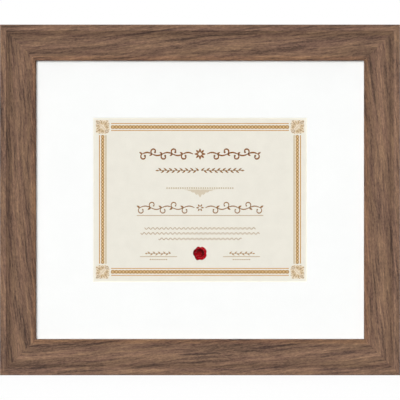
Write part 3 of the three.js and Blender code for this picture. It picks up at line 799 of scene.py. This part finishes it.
def plaited_band(centre, half_length, upright, width, strand, eye):
    """Two strands that cross at a steady pitch, with an oval in each gap. eye is the share of the gap
    that the oval fills."""
    gaps = round(2 * half_length / PLAIT_PITCH)
    pitch = 2 * half_length / gaps
    swing = (width - strand) / 2

    def at(along, over):
        aside, up = (over, along) if upright else (along, over)
        return (centre[0] + aside, centre[1] + up)

    base_ink.strip([at(-half_length, 0), at(half_length, 0)], width * PLAIT_GROUND)
    for way in (-1, 1):
        wave = []
        for step in range(PLAIT_STEPS * gaps + 1):
            over = way * swing * math.sin(math.pi * step / PLAIT_STEPS)
            wave.append(at(step * pitch / PLAIT_STEPS - half_length, over))
        strand_ink.strip(wave, strand)
    halves = [eye * (width / 2 - strand), eye * pitch / 4]
    if not upright:
        halves.reverse()
    for gap in range(gaps):
        eye_ink.patch(oval(at((gap + 0.5) * pitch - half_length, 0), *halves))
    for gap in range(1, gaps):
        crossing_ink.dot(at(gap * pitch - half_length, 0), strand / 2)


def upright_line(line, x, width):
    line.strip([(x, PRINT_LIFT - BAND_END_UPRIGHT), (x, PRINT_LIFT + BAND_END_UPRIGHT)], width)


for way in (-1, 1):
    plaited_band((0, PRINT_LIFT + way * BORDER_TOP), BAND_END_LEVEL, False, **LEVEL_BAND)
    plaited_band((way * BORDER_SIDE, PRINT_LIFT), BAND_END_UPRIGHT, True, **UPRIGHT_BAND)
    for height in LEVEL_LINES:
        z = PRINT_LIFT + way * height
        line_ink.strip([(-BAND_END_LEVEL, z), (BAND_END_LEVEL, z)], LEVEL_LINE_WIDTH)
    upright_line(line_ink, way * UPRIGHT_LINE, UPRIGHT_LINE_WIDTH)
for name, (across, width, colour) in STRIPES.items():
    stripe = Ink(name, colour)
    for way in (-1, 1):
        upright_line(stripe, way * across, width)

# The corner ornaments, drawn for the top right corner: places are measured outwards from the middle of
# the square, and each leaf and berry has a twin on the other side of the stem
CORNER_OUTLINE = (
    (8.8, 8.8), (8.8, -7.3), (3.5, -8.4), (-4.0, -9.2), (-9.2, -4.0), (-8.4, 3.5), (-7.3, 8.8),
)
CORNER_LEAVES = {
    "pale": (
        ((3.4, 3.0), (8.5, 4.6), 2.6),
        ((3.0, 0.4), (8.4, -3.6), 2.8),
        ((0.4, -1.6), (5.4, -8.0), 2.8),
        ((-2.6, -3.8), (0.6, -8.8), 2.4),
        ((0.8, 2.0), (2.0, 8.5), 1.8),
    ),
    "deep": (
        ((4.2, 2.0), (8.6, 0.6), 2.0),
        ((2.2, -1.8), (8.5, -7.0), 1.8),
        ((-1.0, -3.0), (2.8, -8.4), 1.7),
        ((-4.0, -5.2), (-3.2, -8.8), 1.6),
    ),
}
CORNER_BERRIES = (
    (8.1, 7.2), (8.2, 2.6), (6.4, -1.4), (8.1, -5.4), (3.9, -4.4), (4.2, -8.2), (-0.6, -6.0),
)
BERRY_RADIUS = 0.6
STEM_ENDS = (3.4, -3.4)
STEM_WIDTH = 2.6
STEM_VEIN_WIDTH = 0.8
CORNER_RINGS = ((5.7, 1.6), (-5.4, 1.8))
RING_LINE = 0.8
RING_GROUND = 1.0
ground_ink = Ink("corner_ground", (235, 221, 197))
leaf_inks = {
    "pale": Ink("corner_pale_leaves", (213, 189, 152), 2),
    "deep": Ink("corner_deep_leaves", (193, 163, 124), 3),
}
stem_ink = Ink("corner_stems", (238, 222, 198), 4)
vein_ink = Ink("corner_stem_veins", (208, 190, 165), 5)
knot_ink = Ink("corner_knots", (166, 139, 105), 5)


def corner_ornament(right, top):
    def at(out, up):
        return (right * (BORDER_SIDE + out), PRINT_LIFT + top * (BORDER_TOP + up))

    ground_ink.patch([at(*place) for place in CORNER_OUTLINE])
    for twin in (1, -1):
        for kind, leaves in CORNER_LEAVES.items():
            for base, tip, width in leaves:
                leaf_inks[kind].leaf(at(*base[::twin]), at(*tip[::twin]), width)
        for berry in CORNER_BERRIES:
            knot_ink.dot(at(*berry[::twin]), BERRY_RADIUS)
    stem = [at(end, end) for end in STEM_ENDS]
    stem_ink.strip(stem, STEM_WIDTH)
    vein_ink.strip(stem, STEM_VEIN_WIDTH)
    for middle, radius in CORNER_RINGS:
        stem_ink.dot(at(middle, middle), radius + RING_GROUND)
        knot_ink.ring(at(middle, middle), radius, RING_LINE)
        knot_ink.dot(at(middle, middle), BERRY_RADIUS)


for right in (-1, 1):
    for top in (-1, 1):
        corner_ornament(right, top)

# Vines and sprigs where such a sheet has its heading, a name and signatures. They grow outwards from
# the middle. A wave is one hump or hollow of a vine's stem, and the vine's sizes are shares of a wave.
# A pen is the greatest and the least width of a line.
VINE_STEPS = 14
VINE_RISE = 0.15
VINE_LEAF = {"aside": 0.3, "rise": 0.2, "width": 0.17}
CURL_REACH = 0.3
CURL_TURN = 1.55 * math.pi
CURL_CLOSE = 0.12
CURL_DROP = 0.7
HEADING_LEVEL = 58.7
HEADING_VINE = {"start": 9.0, "wave": 13.0, "waves": 5, "pen": (1.9, 1.0)}
HEADING_ROSETTE = {"petals": 8, "inside": 1.7, "outside": 7.4, "width": 2.7}
SECOND_LEVEL = 37.6
SECOND_SPRIG = {"start": 1.5, "leaves": 15, "pitch": 3.4, "leaf": (4.6, 3.4), "width": 1.9, "stem": 0.7}
heading_ink = Ink("heading_flourish", (138, 82, 14))
second_ink = Ink("second_flourish", (142, 98, 40))


def vine(pen_ink, way, level, start, wave, waves, pen):
    """A waving stem. Where it crosses its level, a tendril curls to one side and a leaf grows on the
    other."""
    stem = []
    for step in range(waves * VINE_STEPS + 1):
        along = step / VINE_STEPS
        rise = VINE_RISE * wave * math.sin(math.pi * along)
        stem.append((way * (start + wave * along), level + rise))
    pen_ink.stroke(stem, *pen, waves)
    lean = math.atan(math.pi * VINE_RISE)
    first_reach = CURL_REACH * wave
    aside, rise, width = [share * wave for share in VINE_LEAF.values()]
    for number in range(1, waves + 1):
        up = (-1) ** number
        fork = start + wave * number
        curl = []
        for step in range(VINE_STEPS + 1):
            turn = CURL_TURN * step / VINE_STEPS
            reach = first_reach * math.exp(-CURL_CLOSE * turn)
            x = fork - first_reach * math.sin(lean) + reach * math.sin(lean + turn)
            away = first_reach * math.cos(lean) - reach * math.cos(lean + turn)
            curl.append((way * x, level + up * away))
        pen_ink.stroke(curl, *pen)
        pen_ink.dot(curl[-1], pen[0] * CURL_DROP)
        pen_ink.leaf((way * fork, level), (way * (fork + aside), level - up * rise), width)


def sprig(pen_ink, way, level, start, leaves, pitch, leaf, width, stem):
    """A straight stem with leaves on one side after the other, and a leaf at its end."""
    end = start + leaves * pitch
    aside, rise = leaf
    pen_ink.strip([(way * start, level), (way * end, level)], stem)
    pen_ink.leaf((way * end, level), (way * (end + aside), level), width)
    for number in range(leaves):
        root = start + number * pitch
        tip = (way * (root + aside), level + (-1) ** number * rise)
        pen_ink.leaf((way * root, level), tip, width)


for way in (-1, 1):
    vine(heading_ink, way, HEADING_LEVEL, **HEADING_VINE)
    sprig(second_ink, way, SECOND_LEVEL, **SECOND_SPRIG)
heading_ink.rosette((0.0, HEADING_LEVEL), **HEADING_ROSETTE)

# A row of beads with a scalloped swag below it
BEAD_LEVEL = 15.1
BEAD_PITCH = 2.9
BEAD_COUNT = 30
BEAD_LENGTH = 2.4
BEAD_WIDTH = 2.3
SWAG_LEVEL = 13.3
SWAG_HALF = 22.5
SWAG_DROP = 10.0
SWAG_TAPER = 1.7
SWAG_LOBES = 9
LOBE_STEPS = 6
LOBE_NOTCH = 0.3
bead_ink = Ink("bead_row", (197, 181, 152))
swag_ink = Ink("swag", (214, 201, 178))


def beads(row_ink, middle, level, count, width):
    """A row of pointed beads about a middle."""
    for bead in range(count):
        left = middle + (bead - (count - 1) / 2) * BEAD_PITCH - BEAD_LENGTH / 2
        row_ink.leaf((left, level), (left + BEAD_LENGTH, level), width)


beads(bead_ink, 0.0, BEAD_LEVEL, BEAD_COUNT, BEAD_WIDTH)
swag = []
for step in range(SWAG_LOBES * LOBE_STEPS + 1):
    share = 2 * step / (SWAG_LOBES * LOBE_STEPS) - 1
    notch = LOBE_NOTCH * (1 - abs(math.sin(math.pi * step / LOBE_STEPS)))
    drop = SWAG_DROP * (1 - abs(share)) ** SWAG_TAPER * (1 - notch)
    swag.append((share * SWAG_HALF, SWAG_LEVEL - drop))
swag_ink.patch(swag)

# Rules for a name and two signatures with a vine and sprigs above them, and three waved rules
RULE_WIDTH = 0.8
NAME_LEVEL = -19.9
NAME_HALF = 81.0
NAME_FLOURISH_LEVEL = -10.0
NAME_ROSETTE = {"petals": 6, "inside": 1.3, "outside": 5.2, "width": 1.9}
NAME_VINE = {"start": 7.0, "wave": 14.0, "waves": 5, "pen": (1.35, 0.8)}
SIGNATURE_LEVEL = -72.6
SIGNATURE_ENDS = (29.4, 76.7)
SIGNATURE_FLOURISH_LEVEL = -68.6
SIGNATURE_SPRIG = {"start": 37.5, "leaves": 9, "pitch": 3.3, "leaf": (3.4, 2.6), "width": 1.5, "stem": 0.6}
CAPTION_LEVEL = -76.2
CAPTION_BEADS = 8
CAPTION_BEAD_WIDTH = 1.6
WAVES = ((-36.5, 71.0), (-42.9, 76.0), (-49.9, 53.0))
WAVE_LENGTH = 5.6
WAVE_HEIGHT = 1.15
WAVE_STEPS = 10
name_ink = Ink("name_rule", (180, 150, 106))
name_ink.strip([(-NAME_HALF, NAME_LEVEL), (NAME_HALF, NAME_LEVEL)], RULE_WIDTH)
pen_ink = Ink("name_flourish", (146, 100, 44), 2)
pen_ink.rosette((0.0, NAME_FLOURISH_LEVEL), **NAME_ROSETTE)
faint_ink = Ink("signature_rules", (188, 160, 118))
signature_ink = Ink("signature_flourishes", (172, 134, 84), 2)
for way in (-1, 1):
    vine(pen_ink, way, NAME_FLOURISH_LEVEL, **NAME_VINE)
    sprig(signature_ink, way, SIGNATURE_FLOURISH_LEVEL, **SIGNATURE_SPRIG)
    faint_ink.strip([(way * end, SIGNATURE_LEVEL) for end in SIGNATURE_ENDS], RULE_WIDTH)
    beads(faint_ink, way * sum(SIGNATURE_ENDS) / 2, CAPTION_LEVEL, CAPTION_BEADS, CAPTION_BEAD_WIDTH)
wave_ink = Ink("waved_rules", (172, 140, 94))
for height, half_length in WAVES:
    steps = round(2 * half_length / WAVE_LENGTH * WAVE_STEPS)
    places = [2 * half_length * step / steps - half_length for step in range(steps + 1)]
    wave = [(x, height + WAVE_HEIGHT * math.sin(2 * math.pi * x / WAVE_LENGTH)) for x in places]
    wave_ink.strip(wave, RULE_WIDTH)
for used_ink in Ink.used:
    used_ink.done()


# The wax seal. Its outline follows the same dips as the solid's: direction in degrees, depth in
# millimetres, where a negative depth is a bulge, and spread in degrees. The rim and the wall of the
# stamp are given as a distance, inwards from the edge or outwards from the stamp, and a height.
SEAL_DIPS = (
    (86, 1.5, 10), (-1, 1.2, 10), (-92, 0.8, 12), (-115, -0.6, 14), (-150, 0.9, 13), (134, 1.0, 15),
)
SEAL_RADIUS = 9.0
SEAL_STAMP_RADIUS = 5.6
SEAL_ABOVE_EDGE = 39.65
SEAL_STEPS = 144
SEAL_RIM = ((0.0, 0.0), (0.0, 0.2), (0.1, 0.45), (0.32, 0.72), (0.7, 0.9), (1.2, 0.98))
SEAL_WALL = ((0.9, 0.98), (0.45, 0.9), (0.18, 0.76), (0.05, 0.56), (-0.15, 0.44))
RIM_RISE = 0.94
RIM_WAVE = 0.05
SEAL_FLOOR = 0.42
SEAL_FLOOR_INSET = 0.3
FLOOR_RINGS = 22
BOSS = {"radius": 1.1, "height": 0.34}
PETAL = {"count": 8, "middle": 2.7, "length": 3.0, "height": 0.34, "fullness": 0.8}
PEARL = {"count": 24, "middle": 4.85, "half_width": 0.26, "height": 0.22, "gap": 0.45}
SEAL_SEED = 4


def seal_reach(direction):
    """How far the seal's edge lies from its centre, in a direction in degrees."""
    reach = SEAL_RADIUS
    for middle, depth, spread in SEAL_DIPS:
        off = (direction - middle + 180) % 360 - 180
        reach -= depth * math.exp(-((off / spread) ** 2))
    return reach


def stamped_height(radius, angle):
    """The relief in the stamp: a round boss, a rosette and a ring of pearls."""
    boss = max(0.0, 1 - (radius / BOSS["radius"]) ** 2)
    petal = max(0.0, math.cos(math.pi * (radius - PETAL["middle"]) / PETAL["length"]))
    petal *= (0.5 + 0.5 * math.cos(PETAL["count"] * angle)) ** PETAL["fullness"]
    pearl = math.exp(-(((radius - PEARL["middle"]) / PEARL["half_width"]) ** 2))
    pearl *= 1 - PEARL["gap"] + PEARL["gap"] * math.cos(PEARL["count"] * angle)
    return SEAL_FLOOR + BOSS["height"] * boss + PETAL["height"] * petal + PEARL["height"] * pearl


def seal_row(angle, phases):
    """Radius and height of the wax, from its edge inwards in one direction. The rim swells unevenly."""
    reach = seal_reach(math.degrees(angle))
    waves = [math.sin((number + 2) * angle + phase) for number, phase in enumerate(phases)]
    rise = RIM_RISE + RIM_WAVE * sum(waves) / len(waves)
    points = [(reach - inward, height * rise) for inward, height in SEAL_RIM]
    points += [(SEAL_STAMP_RADIUS + outward, height * rise) for outward, height in SEAL_WALL]
    for ring in range(FLOOR_RINGS):
        radius = (SEAL_STAMP_RADIUS - SEAL_FLOOR_INSET) * (1 - ring / FLOOR_RINGS)
        points.append((radius, stamped_height(radius, angle)))
    return points


def wax_seal():
    centre = Vector((0.0, paper_front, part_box("certificate")[0].z + SEAL_ABOVE_EDGE * MM))
    chance = random.Random(SEAL_SEED)
    phases = [chance.uniform(0, 2 * math.pi) for _ in range(3)]
    shape = bmesh.new()

    def point(angle, radius, height):
        place = (radius * math.cos(angle), -height, radius * math.sin(angle))
        return shape.verts.new(centre + Vector(place) * MM)

    angles = directions(SEAL_STEPS)
    rows = [[point(angle, *place) for place in seal_row(angle, phases)] for angle in angles]
    rings = [*zip(*rows), [point(0.0, 0.0, stamped_height(0.0, 0.0))]]
    shape.faces.new(rings[0])
    skin(shape, rings)
    outwards(shape)
    for face in shape.faces:
        face.smooth = len(face.verts) < SEAL_STEPS
    material = wax(centre, SEAL_RADIUS * MM)
    add_piece("wax_seal_pressed", shape, material, body_of("wax_seal"), "seal_wax", "wax_seal")


wax_seal()


# Fittings on the back
ROUND_STEPS = 48
SCREW_HEAD = 2.1
SCREW_HEAD_RADIUS = 3.4
SCREW_HEAD_EDGE = 0.2
SCREW_CROWN_FOOT = 0.5
SCREW_CROWN_POWER = 0.62
SCREW_SHANK_RADIUS = 1.6
SCREW_POINT = 3.5
ARC_STEPS = 8
# The recess: y, length and width at its mouth, just above the crown, and at its foot
RECESS = ((0.3, 3.9, 0.8), (-1.5, 1.7, 0.55))
TURN_SEED = 7
RING_SWELL = 0.13 * MM
WIRE_LEVELS = 2
# More than half a turn, so that any two triangles may join
ANY_ANGLE = 3.2
FITTING_EDGE = 0.14 * MM
NAIL_EDGE = 0.08 * MM
BUMPER_FOOT = 0.3 * MM
BUMPER_ROUND = 1.5 * MM
# The dish in a bumper: a share of its radius, and a depth in millimetres
BUMPER_DISH = ((0.42, 0.0), (0.34, 0.25), (0, 0.35))


def quarter_arc():
    """Points of a quarter circle of radius 1, from its side to its top."""
    turns = [math.pi / 2 * step / ARC_STEPS for step in range(ARC_STEPS + 1)]
    return [(round(math.cos(turn), 6), math.sin(turn)) for turn in turns]


def lathe(profile):
    """A closed round body about the y axis. profile gives radius and y, from one end to the other."""
    shape = bmesh.new()
    rings = []
    for radius, y in profile:
        if radius == 0:
            rings.append([shape.verts.new((0, y, 0))])
            continue
        angles = directions(ROUND_STEPS)
        rings.append([shape.verts.new((radius * math.cos(a), y, radius * math.sin(a))) for a in angles])
    skin(shape, rings)
    outwards(shape)
    return shape


def screw_profile(length):
    """Tip to crown of a pan-head screw in millimetres, with the crown's top at y = 0."""
    seat = -SCREW_HEAD
    profile = [
        (0, -length),
        (SCREW_SHANK_RADIUS, SCREW_POINT - length),
        (SCREW_SHANK_RADIUS, seat),
        (SCREW_HEAD_RADIUS - SCREW_HEAD_EDGE, seat),
        (SCREW_HEAD_RADIUS, seat + SCREW_HEAD_EDGE),
    ]
    for across, up in quarter_arc():
        radius = SCREW_HEAD_RADIUS * across ** SCREW_CROWN_POWER
        profile.append((radius, (seat + SCREW_CROWN_FOOT) * (1 - up)))
    return profile


def recess_wing(upright):
    """One of the two tapered bars that cross in a screw's head."""
    shape = bmesh.new()
    corners = []
    for y, length, width in RECESS:
        ends = [(a * length / 2, b * width / 2) for a, b in SQUARE]
        corners.append([shape.verts.new((b, y, a) if upright else (a, y, b)) for a, b in ends])
    shape.faces.new(corners[0])
    shape.faces.new(corners[1])
    skin(shape, corners)
    outwards(shape)
    return shape


def screw_mesh(length):
    """A cross-head screw in millimetres, cut from its round body."""
    body = made_from("screw_body", lathe(screw_profile(length)))
    wings = [made_from("screw_recess", recess_wing(upright)) for upright in (False, True)]
    for wing in wings:
        cut = body.modifiers.new("recess", "BOOLEAN")
        cut.object = wing
        cut.solver = "EXACT"
    graph = bpy.context.evaluated_depsgraph_get()
    mesh = bpy.data.meshes.new_from_object(body.evaluated_get(graph))
    for made in (body, *wings):
        bpy.data.objects.remove(made)
    return mesh


def screw(node, material, turn):
    low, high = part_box(node)
    shape = bmesh.new()
    shape.from_mesh(screw_mesh((high.y - low.y) / MM))
    bmesh.ops.remove_doubles(shape, verts=shape.verts, dist=WELD / MM)
    bmesh.ops.dissolve_degenerate(shape, edges=shape.edges, dist=WELD / MM)
    middle = Vector(((low.x + high.x) / 2, high.y, (low.z + high.z) / 2))
    shape.transform(Matrix.Translation(middle) @ Matrix.Rotation(turn, 4, "Y") @ Matrix.Scale(MM, 4))
    shade(shape)
    add_piece(node + "_cross_head", shape, material, body_of(node), "zinc_steel", node)


def hanger_ring(node, material):
    """The ring's wire, rounded from its eight-sided tube."""
    shape = welded(node)
    limits = {"angle_face_threshold": ANY_ANGLE, "angle_shape_threshold": ANY_ANGLE}
    bmesh.ops.join_triangles(shape, faces=shape.faces, **limits)
    shape.normal_update()
    for vertex, normal in [(vertex, vertex.normal.copy()) for vertex in shape.verts]:
        vertex.co += normal * RING_SWELL
    shade(shape)
    for edge in shape.edges:
        edge.smooth = True
    piece = add_piece(node + "_wire", shape, material, body_of(node), "zinc_steel", node)
    rounding = piece.modifiers.new("round_wire", "SUBSURF")
    rounding.levels = WIRE_LEVELS
    rounding.render_levels = WIRE_LEVELS


def bumper(node, material):
    """A rubber foot with a round edge and a shallow dish in its face."""
    low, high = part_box(node)
    radius = (high.x - low.x) / 2
    height = high.y - low.y
    profile = [(0, 0), (radius - BUMPER_FOOT, 0), (radius, BUMPER_FOOT)]
    for across, up in quarter_arc():
        profile.append((radius - BUMPER_ROUND * (1 - across), height - BUMPER_ROUND * (1 - up)))
    profile += [(radius * share, height - depth * MM) for share, depth in BUMPER_DISH]
    shape = lathe(profile)
    shape.transform(Matrix.Translation(((low.x + high.x) / 2, low.y, (low.z + high.z) / 2)))
    shade(shape)
    add_piece(node + "_foot", shape, material, body_of(node), "bumper_rubber", node)


turns = random.Random(TURN_SEED)
plated = zinc("zinc_plated_fittings", 0.0)
wire_plated = zinc("zinc_plated_wire", 6.0)
screw_plated = zinc("zinc_plated_screws", 13.0)
for side in SIDES:
    for number in (1, 2):
        refined(f"turn_button_{side}_{number}", plated, "zinc_steel", FITTING_EDGE)
        screw(f"button_screw_{side}_{number}", screw_plated, turns.uniform(0, math.pi))
for side in ("left", "right"):
    refined(f"hanger_strap_{side}", plated, "zinc_steel", FITTING_EDGE)
    hanger_ring(f"hanger_ring_{side}", wire_plated)
    for place in ("upper", "lower"):
        screw(f"hanger_screw_{side}_{place}", screw_plated, turns.uniform(0, math.pi))
for corner in CORNERS:
    for place in ("inner", "outer"):
        refined(f"v_nail_{corner}_{place}", plated, "zinc_steel", NAIL_EDGE)
black = rubber()
for side in ("left", "right"):
    bumper(f"bumper_{side}", black)


# Camera, light and stage

def add_camera():
    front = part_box("top_rail")[0].y
    data = bpy.data.cameras.new("camera")
    data.sensor_width = SENSOR
    width = cad_bounds[1].x - cad_bounds[0].x
    pixel = width / FRAME_WIDTH_PIXELS
    data.lens = SENSOR * CAMERA_DISTANCE / (pixel * IMAGE_SIDE)
    data.clip_end = CLIP_END
    camera = placed("camera", data)
    lower = (IMAGE_SIDE / 2 - FRAME_MIDDLE_PIXELS) * pixel
    camera.location = (0.0, front - CAMERA_DISTANCE, -lower)
    camera.rotation_euler = (math.pi / 2, 0.0, 0.0)
    bpy.context.scene.camera = camera


def add_lamp(name, level, spread, turn, rise, mirrored):
    data = bpy.data.lights.new(name, "SUN")
    data.energy = level * math.pi
    data.angle = math.radians(spread)
    lamp = placed(name, data)
    turn = math.radians(turn)
    way = Vector((math.sin(turn), -math.cos(turn), math.tan(math.radians(rise))))
    lamp.rotation_mode = "QUATERNION"
    lamp.rotation_quaternion = way.to_track_quat("Z", "Y")
    lamp.visible_glossy = mirrored
    lamp.visible_transmission = mirrored


def add_world():
    """A dim room that looks white."""
    tree = Tree("studio", bpy.data.worlds)
    room = tree.add("ShaderNodeBackground", {"Color": WHITE, "Strength": ROOM_LEVEL})
    white = tree.add("ShaderNodeBackground", {"Color": WHITE})
    mixed = tree.mix_shaders(tree.seen_directly(), room, white)
    bpy.context.scene.world = tree.end(mixed, "ShaderNodeOutputWorld")


def add_floor():
    """A floor that looks white, takes a faint shadow and throws little light back."""
    tree = Tree("pale_floor")
    plain = tree.add("ShaderNodeBsdfDiffuse", {"Color": grey(FLOOR_SEEN)})
    glow = tree.add("ShaderNodeEmission", {"Strength": 1.0})
    dull = tree.add("ShaderNodeBsdfDiffuse", {"Color": grey(FLOOR_BOUNCE)})
    white = tree.mix_shaders(FLOOR_GLOW, plain, glow)
    mixed = tree.mix_shaders(tree.seen_directly(), dull, white)
    half = FLOOR_SIDE / 2
    mesh = bpy.data.meshes.new("floor")
    corners = [(x * half, y * half, cad_bounds[0].z) for x, y in SQUARE]
    mesh.from_pydata(corners, [], [(0, 1, 2, 3)])
    mesh.materials.append(tree.end(mixed))
    floor = placed("floor", mesh)
    floor.visible_shadow = False


add_camera()
for name, lamp in LAMPS.items():
    add_lamp(name, *lamp)
add_world()
add_floor()
bpy.context.scene.view_settings.view_transform = "Standard"
